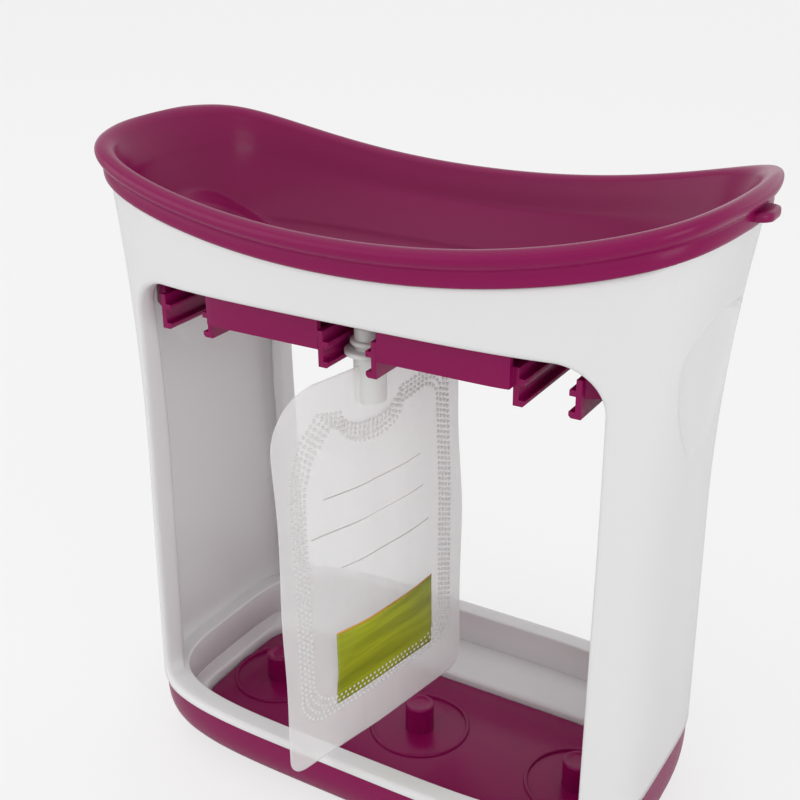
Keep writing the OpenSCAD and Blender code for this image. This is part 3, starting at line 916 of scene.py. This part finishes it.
def rim_ring(out, up):
    """A ring that follows the saddle rim, out from it and up from it."""
    x, y = rim_oval(RIM_A + out, RIM_B + out, RIM_N, 1.0, rim_turns())
    return np.stack((x, y, RIM_Z + up + saddle(x)), axis=1).tolist()


def rim_profile():
    """(out, up) points of the bead and the band, from the bowl's side over to the skirt."""
    inner = [(-5.45, -6.6), (-4.75, -4.4), (-4.1, -2.4), (-3.45, -0.9)]
    bead = [(2.9 * x, 2.8 * y) for x, y in arc(0, 0, 1, 168, -40, 22)]
    crease = [(1.35, -2.75), (0.95, -3.1), (0.8, -3.4), (0.85, -3.7)]
    lower = [(1.0, -4.6), (1.05, -5.6), (1.0, -6.6), (0.85, -7.3), (0.5, -BAND_DROP + 0.1),
             (0.1, -BAND_DROP), (-0.1, -BAND_DROP + 0.15)]
    inside_skirt = [(-0.1, -6.1), (-3.3, -6.1), (-3.4, -BAND_DROP)]
    return inner + bead + crease + lower + inside_skirt


class STATION_OT_tray(bpy.types.Operator):
    """Builds the bowl with its saddle rim, its floor with three tube seats, and the finger tabs"""
    bl_idname = "station.tray"
    bl_label = "Funnel tray"

    def execute(self, context):
        rim = [rim_ring(out, up) for out, up in rim_profile()]
        inner = list(reversed(bowl_rings()))
        outer = bowl_rings(TRAY_T, TRAY_T)[4:]
        sides = hoop(inner + rim + outer, closed=False)
        seats = [(x, 0.0, SEAT_R, 96) for x in STATIONS]
        top = flat_fill(inner[0], seats, FLOOR_Z)
        ledges = [(x, 0.0, SEAT_R - 2.0, 96) for x in STATIONS]
        bottom = flat_fill(outer[-1], ledges, FLOOR_Z - TRAY_T)
        collars = []
        for x in STATIONS:
            high = FLOOR_Z + 1.4
            low = FLOOR_Z - TRAY_T
            profile = [(SEAT_R, FLOOR_Z), (SEAT_R, low + 0.9), (SEAT_R - 2.0, low + 0.9),
                       (SEAT_R - 2.0, low)]
            collars.append(lathe(profile, 96, (x, 0.0)))
            lip = [(SEAT_R, FLOOR_Z - 0.4), (SEAT_R, high - 0.5)]
            lip += [(SEAT_R + 0.8 + 0.8 * u, high - 0.6 + 0.6 * v) for u, v in arc(0, 0, 1, 180, 0, 8)]
            lip += [(SEAT_R + 1.6, FLOOR_Z + 0.4), (SEAT_R + 2.2, FLOOR_Z - 0.1), (SEAT_R, FLOOR_Z - 0.4)]
            collars.append(lathe(lip, 96, (x, 0.0)))
        bowl = mesh_from("funnel_bowl", *joined(sides, top, bottom), sharp_angle=math.radians(60))
        new_object("funnel_bowl", bowl, "tray", finish("magenta_plastic"),
                   ["funnel_tray"])
        rims = mesh_from("tube_seats", *joined(*collars), sharp_angle=math.radians(60))
        new_object("tube_seats", rims, "tray", finish("magenta_plastic"))
        tabs = mesh_from("finger_tabs", *joined(finger_tab(1), finger_tab(-1)),
                         sharp_angle=math.radians(60))
        new_object("finger_tabs", tabs, "tray", finish("magenta_plastic"))
        return {"FINISHED"}


def finger_tab(side):
    """A rounded tab that stands out under the bead at one end."""
    low = RIM_Z + RIM_RISE - 6.0
    thick, soft = 2.7, 0.9
    reach, half = 5.2, 2.5
    outline = arc(RIM_A + reach - 4, half, 4, 90, 0, 10) + arc(RIM_A + reach - 4, -half, 4, 0, -90, 10)
    outline = [(RIM_A, half + 4)] + outline + [(RIM_A, -half - 4)]
    centre = (RIM_A + 1, 0.0)
    levels = [(soft, 0.0), (0.2, 0.2), (0.0, soft), (0.0, thick - soft), (0.2, thick - 0.2), (soft, thick)]
    rings = []
    for inset, up in levels:
        ring = []
        for x, y in outline:
            away = math.hypot(x - centre[0], y - centre[1])
            k = (away - inset) / away
            ring.append((side * (centre[0] + (x - centre[0]) * k), side * (centre[1] + (y - centre[1]) * k),
                         low + up))
        rings.append(ring)
    count = len(outline)
    points, faces = hoop(rings, closed=False)
    faces.append(tuple(range(count)))
    faces.append(tuple(range((len(levels) - 1) * count, len(levels) * count)))
    return points, faces


# ---------------------------------------------------------------- rails


class STATION_OT_rails(bpy.types.Operator):
    """Builds the rail blocks from the carrier's solid, with softened edges"""
    bl_idname = "station.rails"
    bl_label = "Rail carrier"

    def execute(self, context):
        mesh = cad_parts["rail_carrier"].data.copy()
        work = bmesh.new()
        work.from_mesh(mesh)
        bmesh.ops.remove_doubles(work, verts=work.verts, dist=1e-5)
        flat = math.radians(1)
        bmesh.ops.dissolve_limit(work, angle_limit=flat, verts=work.verts, edges=work.edges)
        for face in work.faces:
            face.smooth = True
        work.to_mesh(mesh)
        work.free()
        carrier = bpy.data.objects.new("rail_blocks", mesh)
        bpy.context.scene.collection.objects.link(carrier)
        mesh.materials.clear()
        mesh.materials.append(finish("magenta_plastic"))
        bevel = carrier.modifiers.new("soft edges", "BEVEL")
        bevel.width = 0.35 * MM
        bevel.segments = 3
        bevel.limit_method = "ANGLE"
        bevel.angle_limit = math.radians(35)
        bevel.harden_normals = True
        finish_piece(carrier, "housing", ["rail_carrier"])
        return {"FINISHED"}


# ---------------------------------------------------------------- hardware


def screw_mesh(head_r, head_h, shank_r, length, base):
    """A pan-head screw standing on its head, with a threaded shank."""
    profile = [(0.001, base), (head_r - 0.7, base), (head_r - 0.2, base + 0.25), (head_r, base + 0.7),
               (head_r, base + head_h), (shank_r, base + head_h)]
    threads = int((length - head_h) / 0.5)
    for k in range(threads):
        z = base + head_h + 0.5 * k
        profile += [(shank_r - 0.25, z + 0.1), (shank_r, z + 0.3), (shank_r - 0.25, z + 0.45)]
    profile += [(shank_r * 0.5, base + length - 0.2), (0.001, base + length)]
    return lathe(profile, 24)


class STATION_OT_hardware(bpy.types.Operator):
    """Builds the pads and the screws of base and rail carrier"""
    bl_idname = "station.hardware"
    bl_label = "Pads and screws"

    def execute(self, context):
        tree = grid_tree()
        steel = finish("steel")
        low, high = frame_mm("base_screws", 0, 2), frame_mm("base_screws", 1, 2)
        mesh = mesh_from("base_screw", *screw_mesh(2.9, 1.6, 1.4, high - low, low))
        through_tree("base_screw_set", mesh, tree,
                     {"Columns": 2, "Rows": 2, "Column pitch": 2 * SCREW_XY[0] * MM,
                      "Row pitch": 2 * SCREW_XY[1] * MM, "Finish": steel},
                     "housing", steel, ["base_screws"])
        low, high = frame_mm("carrier_screws", 0, 2), frame_mm("carrier_screws", 1, 2)
        points, faces = screw_mesh(2.9, 1.6, 1.4, high - low, 0.0)
        turned = [(p[0], -p[1], high - p[2]) for p in points]
        mesh = mesh_from("carrier_screw", turned, faces)
        ear = (84.5, 20.0)
        through_tree("carrier_screw_set", mesh, tree,
                     {"Columns": 2, "Rows": 2, "Column pitch": 2 * ear[0] * MM,
                      "Row pitch": 2 * ear[1] * MM, "Finish": steel},
                     "housing", steel, ["carrier_screws"])
        rubber = finish("rubber")
        for node in ("pad_front_left", "pad_front_right", "pad_back_left", "pad_back_right"):
            low_corner, high_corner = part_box(node)
            centre = (low_corner + high_corner) / 2 / MM
            r = (high_corner.x - low_corner.x) / 2 / MM
            top = high_corner.z / MM
            profile = [(0.001, 0.35), (r * 0.45, 0.35), (r * 0.5, 0.0), (r - 0.5, 0.0), (r - 0.1, 0.15),
                       (r - 0.02, 0.5), (r - 0.02, top), (0.001, top)]
            mesh = mesh_from(node + "_look", *lathe(profile, 48, (centre.x, centre.y)),
                             sharp_angle=math.radians(50))
            new_object(node + "_rubber", mesh, "housing", rubber, [node])
        return {"FINISHED"}


# ---------------------------------------------------------------- pouch

BAG_Y = -29.0
BAG_TOP = 159.0
BAG_LOW = 28.0
BAG_HALF = 41.0


def bag_place(s, z, out):
    """A point of the hanging bag: s across the film, z up, out along the film's normal."""
    twist = sizes().bag_twist
    along = Vector((math.sin(twist), math.cos(twist)))
    normal = Vector((math.cos(twist), -math.sin(twist)))
    p = Vector((0.0, BAG_Y)) + along * s + normal * out
    return p.x, p.y, z


def bag_half(z):
    """Half width of the film at height z: rounded shoulders, slightly wavy sides."""
    shoulder = 17.0
    low_corner = 6.0
    wave = 0.5 * math.sin((z - 40) / 22.0) + 0.35 * math.sin((z - 20) / 9.0)
    half = BAG_HALF + 0.6 + wave
    if z > BAG_TOP - shoulder:
        up = (z - (BAG_TOP - shoulder)) / shoulder
        half -= shoulder * 1.05 * (1 - math.sqrt(max(0.0, 1 - up ** 2)))
    if z < BAG_LOW + low_corner:
        down = (BAG_LOW + low_corner - z) / low_corner
        half -= low_corner * (1 - math.sqrt(max(0.0, 1 - down ** 2)))
    return half


def bag_lean(z):
    """Sideways shift of the film's middle, which hangs further back below the spout."""
    low = min(max((BAG_TOP - 8.0 - z) / 60.0, 0.0), 1.0)
    return 2.0 * low * low * (3 - 2 * low)


def half_room(s, z):
    """Distance in from the seal's inner line, where the two films part."""
    seal = 11.5
    sideways = bag_half(z) - abs(s - bag_lean(z)) - seal
    return min(sideways, z - BAG_LOW - seal - 9.0, BAG_TOP - z - seal - 2.0)


def bag_belly(s, z, side):
    """Distance of one film from the bag's middle plane."""
    half = bag_half(z)
    inner = min(half_room(s, z), 26.0)
    open_share = min(max(inner / 26.0, 0.0), 1.0)
    up = (z - BAG_LOW) / (BAG_TOP - BAG_LOW)
    fill = 2.6 * math.sin(open_share * math.pi / 2) ** 1.5
    crease = 0.25 * math.sin(s / 4.6 + z / 31.0) * open_share * (0.4 + 0.6 * up)
    sag = 0.9 * math.sin(z / 21.0 + s / 29.0) * max(0.0, 1 - abs(s) / (half + 8)) * (1.1 - up)
    return side * (0.16 + fill) + crease * side + sag


FILM_ROWS = 110
FILM_COLUMNS = 64


def closed_sheet(near, far, rows, columns):
    """Two like grids of points, joined round their edge into one thin closed sheet."""
    wide, shift = columns + 1, len(near)
    corners = [j * wide + i for j in range(rows) for i in range(columns)]
    faces = [(a, a + 1, a + wide + 1, a + wide) for a in corners]
    faces += [tuple(k + shift for k in reversed(face)) for face in faces]
    loop = [j * wide for j in range(rows)] + [rows * wide + i for i in range(columns)]
    loop += [(rows - j) * wide + columns for j in range(rows)] + [columns - i for i in range(columns)]
    faces += [(a, b, b + shift, a + shift) for a, b in zip(loop, loop[1:] + loop[:1])]
    return near + far, faces


def film_sheet(side):
    """One film of the bag: points from edge to edge and from bottom to top."""
    tall = BAG_TOP - BAG_LOW
    points = []
    for j in range(FILM_ROWS + 1):
        t = j / FILM_ROWS
        z = BAG_LOW + tall * (0.5 - 0.5 * math.cos(math.pi * t)) * 0.35 + tall * t * 0.65
        half = bag_half(min(max(z, BAG_LOW + 0.02), BAG_TOP - 0.02))
        for i in range(FILM_COLUMNS + 1):
            s = half * math.sin(math.pi / 2 * (2 * i / FILM_COLUMNS - 1)) + bag_lean(z)
            points.append(bag_place(s, z, bag_belly(s, z, side)))
    return points


def film_patch(s0, s1, z0, z1, lift, columns=24, rows=8):
    """A thin printed field that follows the film's outer face on the side that shows."""
    ink = 0.05
    layers = []
    for up in (lift, lift + ink):
        places = [(s0 + (s1 - s0) * i / columns, z0 + (z1 - z0) * j / rows)
                  for j in range(rows + 1) for i in range(columns + 1)]
        layers.append([bag_place(s, z, bag_belly(s, z, 1) + up) for s, z in places])
    return closed_sheet(*layers, rows, columns)


def seal_points(side):
    """Points of the dotted seal: rows of dots, set in a honeycomb, inside the film's edge."""
    pitch = 1.95
    row_step = 1.7
    first = 5.2
    points = []
    for row in range(4):
        inset = first + row * row_step
        path = seal_path(inset)
        travelled = pitch * (0.5 if row % 2 else 0.0)
        for a, b in zip(path, path[1:]):
            length = math.hypot(b[0] - a[0], b[1] - a[1])
            while travelled < length:
                k = travelled / length
                s, z = a[0] + (b[0] - a[0]) * k, a[1] + (b[1] - a[1]) * k
                s += bag_lean(z)
                points.append(bag_place(s, z, bag_belly(s, z, side) + side * 0.02))
                travelled += pitch
            travelled -= length
    return points


def seal_path(inset):
    """The seal's path round the bag, with a dip under the spout."""
    half = BAG_HALF - inset
    top = BAG_TOP - 5.0 - inset
    low = BAG_LOW + 10.0 + inset
    corner = 11.0
    dip = 15.0
    right = arc(half - corner, low + corner, corner, -90, 0, 10)
    right += arc(half - 6.0, top - 6.0, 6.0, 0, 90, 8)
    valley = [(dip * math.cos(math.radians(t)) * 0.9, top - 9.0 * math.sin(math.radians(t)) ** 0.8)
              for t in range(10, 171, 10)]
    left = [(-half + 13.0, top), (-half + 5.0, top - 7.0), (-half + 1.0, top - 17.0)]
    left += [(-half, top - 30.0)] + arc(-half + corner, low + corner, corner, 180, 270, 10)
    return right + valley + left + [right[0]]


class STATION_OT_pouch(bpy.types.Operator):
    """Builds the pouch: two films, dotted seal, printed field, lines and spout"""
    bl_idname = "station.pouch"
    bl_label = "Pouch"

    def execute(self, context):
        film = finish("pouch_film")
        bag = mesh_from("pouch_films", *closed_sheet(
            film_sheet(1), film_sheet(-1), FILM_ROWS, FILM_COLUMNS))
        new_object("pouch_films", bag, "pouch", film, ["pouch_bag"])
        tree = dots_tree()
        twist = sizes().bag_twist
        for side, name in ((1, "near"), (-1, "far")):
            mesh = bpy.data.meshes.new("seal_points_" + name)
            mesh.from_pydata([Vector(p) * MM for p in seal_points(side)], [], [])
            through_tree("pouch_seal_" + name, mesh, tree,
                         {"Radius": 0.62 * MM, "Height": 0.16 * MM, "Turn": math.pi / 2 - twist,
                          "Finish": finish("seal_emboss")},
                         "pouch", finish("seal_emboss"))
        label = mesh_from("pouch_label", *film_patch(-19.0, 28.0, 45.5, 72.0, 0.06, 40, 20))
        new_object("pouch_label", label, "pouch", finish("label_ink"))
        edge = mesh_from("pouch_label_edge", *film_patch(-19.0, 28.0, 72.0, 72.7, 0.06, 40, 1))
        new_object("pouch_label_edge", edge, "pouch", finish("label_edge_ink"))
        lines = [film_patch(s0, s1, z, z + 0.32, 0.05, 30, 1)
                 for s0, s1, z in ((-22.0, 21.0, 121.0), (-27.0, 22.5, 109.0), (-16.0, 26.0, 95.2))]
        ink = mesh_from("pouch_lines", *joined(*lines))
        new_object("pouch_lines", ink, "pouch", finish("grey_ink"))
        spout = mesh_from("spout", *spout_shape(), sharp_angle=math.radians(50))
        new_object("pouch_spout_look", spout, "pouch", finish("spout_plastic"),
                   ["pouch_spout"])
        return {"FINISHED"}


def spout_shape():
    """The spout: neck, two collars and a bore."""
    neck, bore, slim, collar = 5.0, 3.6, 4.6, 7.7
    low = frame_mm("pouch_spout", 0, 2)
    high = frame_mm("pouch_spout", 1, 2)
    flange = 162.0
    profile = [(bore, low), (neck, low), (neck, flange - 0.5), (neck + 0.5, flange), (collar - 0.3, flange),
               (collar, flange + 0.3), (collar, flange + 1.3), (collar - 0.3, flange + 1.6),
               (slim, flange + 1.6), (slim, flange + 3.0), (neck + 0.5, flange + 3.0),
               (neck + 0.8, flange + 3.3), (neck + 0.8, flange + 4.3), (neck + 0.5, flange + 4.6),
               (slim, flange + 4.6), (slim, high - 0.6), (slim - 0.3, high), (bore + 0.3, high),
               (bore, high - 0.3), (bore, low)]
    return lathe(profile, 64, (0.0, BAG_Y))


# ---------------------------------------------------------------- stage


class STATION_OT_stage(bpy.types.Operator):
    """Sets the floor, the lights and the camera at the photograph's viewing angle"""
    bl_idname = "station.stage"
    bl_label = "Stage"

    def execute(self, context):
        floor_mesh = bpy.data.meshes.new("floor")
        reach = 9.0
        floor_mesh.from_pydata([(-reach, -reach, 0), (reach, -reach, 0), (reach, reach, 0),
                                (-reach, reach, 0)], [], [(0, 1, 2, 3)])
        floor = bpy.data.objects.new("floor", floor_mesh)
        context.scene.collection.objects.link(floor)
        floor_mesh.materials.append(pale_floor())
        set_world()
        for name, place, size, power in (
                ("top_light", (-0.25, -0.15, 1.35), 1.3, 2.0),
                ("left_light", (-1.3, -0.9, 0.6), 1.1, 5.2),
                ("right_light", (1.4, -0.8, 0.5), 1.0, 6.0)):
            add_light(name, place, size, power)
        add_camera()
        context.scene.view_settings.view_transform = "Standard"
        return {"FINISHED"}


def seen_directly(tree, *kinds):
    """1 for light rays of these kinds and 0 for the rest."""
    path = tree.nodes.new("ShaderNodeLightPath").outputs
    seen = path[kinds[0]]
    for kind in kinds[1:]:
        seen = add_node(tree, "ShaderNodeMath", {0: seen, 1: path[kind]}, operation="MAXIMUM").outputs[0]
    return seen


def pale_floor():
    """A pale floor that keeps the object's shadow and is near white to the camera."""
    material, tree, shader, _ = new_material("pale_floor")
    set_inputs(tree, shader, {"Base Color": (0.86, 0.86, 0.86, 1), "Roughness": 0.6})
    seen = seen_directly(tree, "Is Camera Ray", "Is Transmission Ray")
    share = add_node(tree, "ShaderNodeMath", {0: seen, 1: 0.7}, operation="MULTIPLY")
    white = add_node(tree, "ShaderNodeEmission", {"Strength": 1.0})
    mix = add_node(tree, "ShaderNodeMixShader", {
        0: share.outputs[0], 1: shader.outputs[0], 2: white.outputs[0]})
    set_inputs(tree, tree.nodes["Material Output"], {"Surface": mix.outputs[0]})
    return material


def set_world():
    """A world that is white where it is seen or reflected, and softer where it only lights."""
    world = bpy.data.worlds.new("pale_studio")
    bpy.context.scene.world = world
    world.use_nodes = True
    tree = world.node_tree
    seen = seen_directly(tree, "Is Camera Ray", "Is Transmission Ray", "Is Glossy Ray")
    set_inputs(tree, tree.nodes["Background"], {
        "Color": (1, 1, 1, 1), "Strength": ranged(tree, seen, 0.62, 1.0)})


def add_light(name, place, size, power):
    """A square lamp that looks at the station's middle."""
    light = bpy.data.lights.new(name, "AREA")
    light.shape = "SQUARE"
    light.size = size
    light.energy = power
    obj = bpy.data.objects.new(name, light)
    bpy.context.scene.collection.objects.link(obj)
    obj.location = place
    aim = Vector((0, 0, 0.1)) - Vector(place)
    obj.rotation_euler = aim.to_track_quat("-Z", "Y").to_euler()


def add_camera():
    """The camera at the photograph's place, from its yaw, pitch and roll."""
    yaw, pitch, roll = (math.radians(v) for v in (31.163, 23.492, -0.513))
    look = Vector((-math.sin(yaw) * math.cos(pitch), math.cos(yaw) * math.cos(pitch), -math.sin(pitch)))
    side = look.cross(Vector((0, 0, 1))).normalized()
    up = side.cross(look)
    right = side * math.cos(roll) + up * math.sin(roll)
    over = -side * math.sin(roll) + up * math.cos(roll)
    camera = bpy.data.cameras.new("camera")
    camera.sensor_width = 36.0
    camera.lens = 36.0 * 1258.66 / 800.0
    camera.clip_start = 0.01
    obj = bpy.data.objects.new("camera", camera)
    bpy.context.scene.collection.objects.link(obj)
    turn = Matrix((right, over, -look)).transposed().to_4x4()
    obj.matrix_world = Matrix.Translation(Vector((188.44, -323.47, 298.21)) * MM) @ turn
    bpy.context.scene.camera = obj


# ---------------------------------------------------------------- panel and main


class STATION_PT_panel(bpy.types.Panel):
    """Lists the station's pieces"""
    bl_idname = "STATION_PT_panel"
    bl_label = "Pouch station"
    bl_space_type = "VIEW_3D"
    bl_region_type = "UI"
    bl_category = "Station"

    def draw(self, context):
        for operator in OPERATORS:
            self.layout.operator(operator.bl_idname)
        for group in (context.scene.station_sizes, context.scene.station_colours):
            for key in group.__annotations__:
                self.layout.prop(group, key)


OPERATORS = (
    STATION_OT_stage, STATION_OT_housing, STATION_OT_basin, STATION_OT_foot, STATION_OT_plate,
    STATION_OT_tray, STATION_OT_rails, STATION_OT_hardware, STATION_OT_pouch,
)
CLASSES = (StationSizes, StationColours, *OPERATORS, STATION_PT_panel)


def register():
    for cls in CLASSES:
        bpy.utils.register_class(cls)
    bpy.types.Scene.station_sizes = bpy.props.PointerProperty(type=StationSizes)
    bpy.types.Scene.station_colours = bpy.props.PointerProperty(type=StationColours)


def unregister():
    del bpy.types.Scene.station_sizes
    del bpy.types.Scene.station_colours
    for cls in reversed(CLASSES):
        bpy.utils.unregister_class(cls)


def main():
    register()
    bpy.ops.station.stage()
    bpy.ops.station.housing()
    bpy.ops.station.basin()
    bpy.ops.station.foot()
    bpy.ops.station.plate()
    bpy.ops.station.tray()
    bpy.ops.station.rails()
    bpy.ops.station.hardware()
    bpy.ops.station.pouch()


if __name__ == "__main__":
    main()
